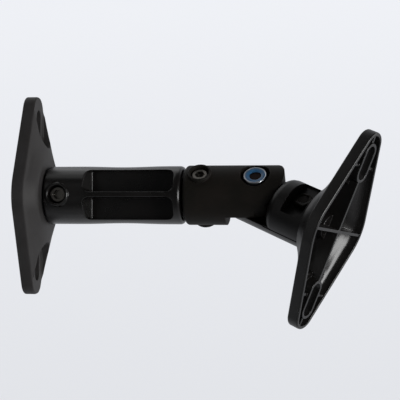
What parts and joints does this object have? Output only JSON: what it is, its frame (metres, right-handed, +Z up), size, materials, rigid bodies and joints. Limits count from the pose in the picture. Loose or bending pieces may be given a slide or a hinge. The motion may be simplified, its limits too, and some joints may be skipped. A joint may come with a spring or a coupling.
{
  "type": "speaker wall bracket",
  "caption": "Black plastic speaker wall bracket: diamond wall plate, round extension arm, elbow and tilting neck that carries a second diamond plate for the speaker.",
  "frame": {"origin": "centre of the wall plate's back plane", "axes": "+X straight out of the wall along the arm, +Z up along the wall plate, -Y towards the side that the picture shows"},
  "size_m": [0.2166, 0.0783, 0.1383],
  "materials": {
    "black_nylon": "satin",
    "black_steel": "black oxide",
    "zinc_steel": "zinc plated",
    "blue_nylon": "plain"
  },
  "bodies": {
    "wall_plate": {"wall_plate": "black_nylon"},
    "arm": {"arm": "black_nylon", "arm_lock_screw": "black_steel", "arm_lock_nut": "black_steel"},
    "elbow": {"elbow": "black_nylon", "elbow_lock_screw": "black_steel", "elbow_lock_washer": "black_steel", "elbow_lock_nut": "black_steel", "pivot_bolt": "zinc_steel", "pivot_head_washer": "zinc_steel", "pivot_nut_washer": "zinc_steel", "pivot_nut": "zinc_steel", "pivot_nut_insert": "blue_nylon"},
    "neck": {"neck": "black_nylon", "neck_lock_screw": "black_steel", "neck_lock_nut": "black_steel"},
    "speaker_plate": {"speaker_plate": "black_nylon"}
  },
  "joints": [
    {"name": "arm_roll", "type": "hinge", "parent": "wall_plate", "child": "arm", "pos_m": [0.0245, 0, 0], "axis": [1, 0, 0], "range_deg": [-45, 45]},
    {"name": "elbow_roll", "type": "hinge", "parent": "arm", "child": "elbow", "pos_m": [0.1103, 0, 0], "axis": [1, 0, 0], "range_deg": [-45, 45]},
    {"name": "neck_tilt", "type": "hinge", "parent": "elbow", "child": "neck", "pos_m": [0.1431, 0, 0], "axis": [0, -0.7071, 0.7071], "range_deg": [-43, 107]},
    {"name": "plate_twist", "type": "hinge", "parent": "neck", "child": "speaker_plate", "pos_m": [0.18041, -0.01649, -0.01649], "axis": [0.848, -0.3747, -0.3747], "range_deg": [-45.5, 44.5]}
  ]
}
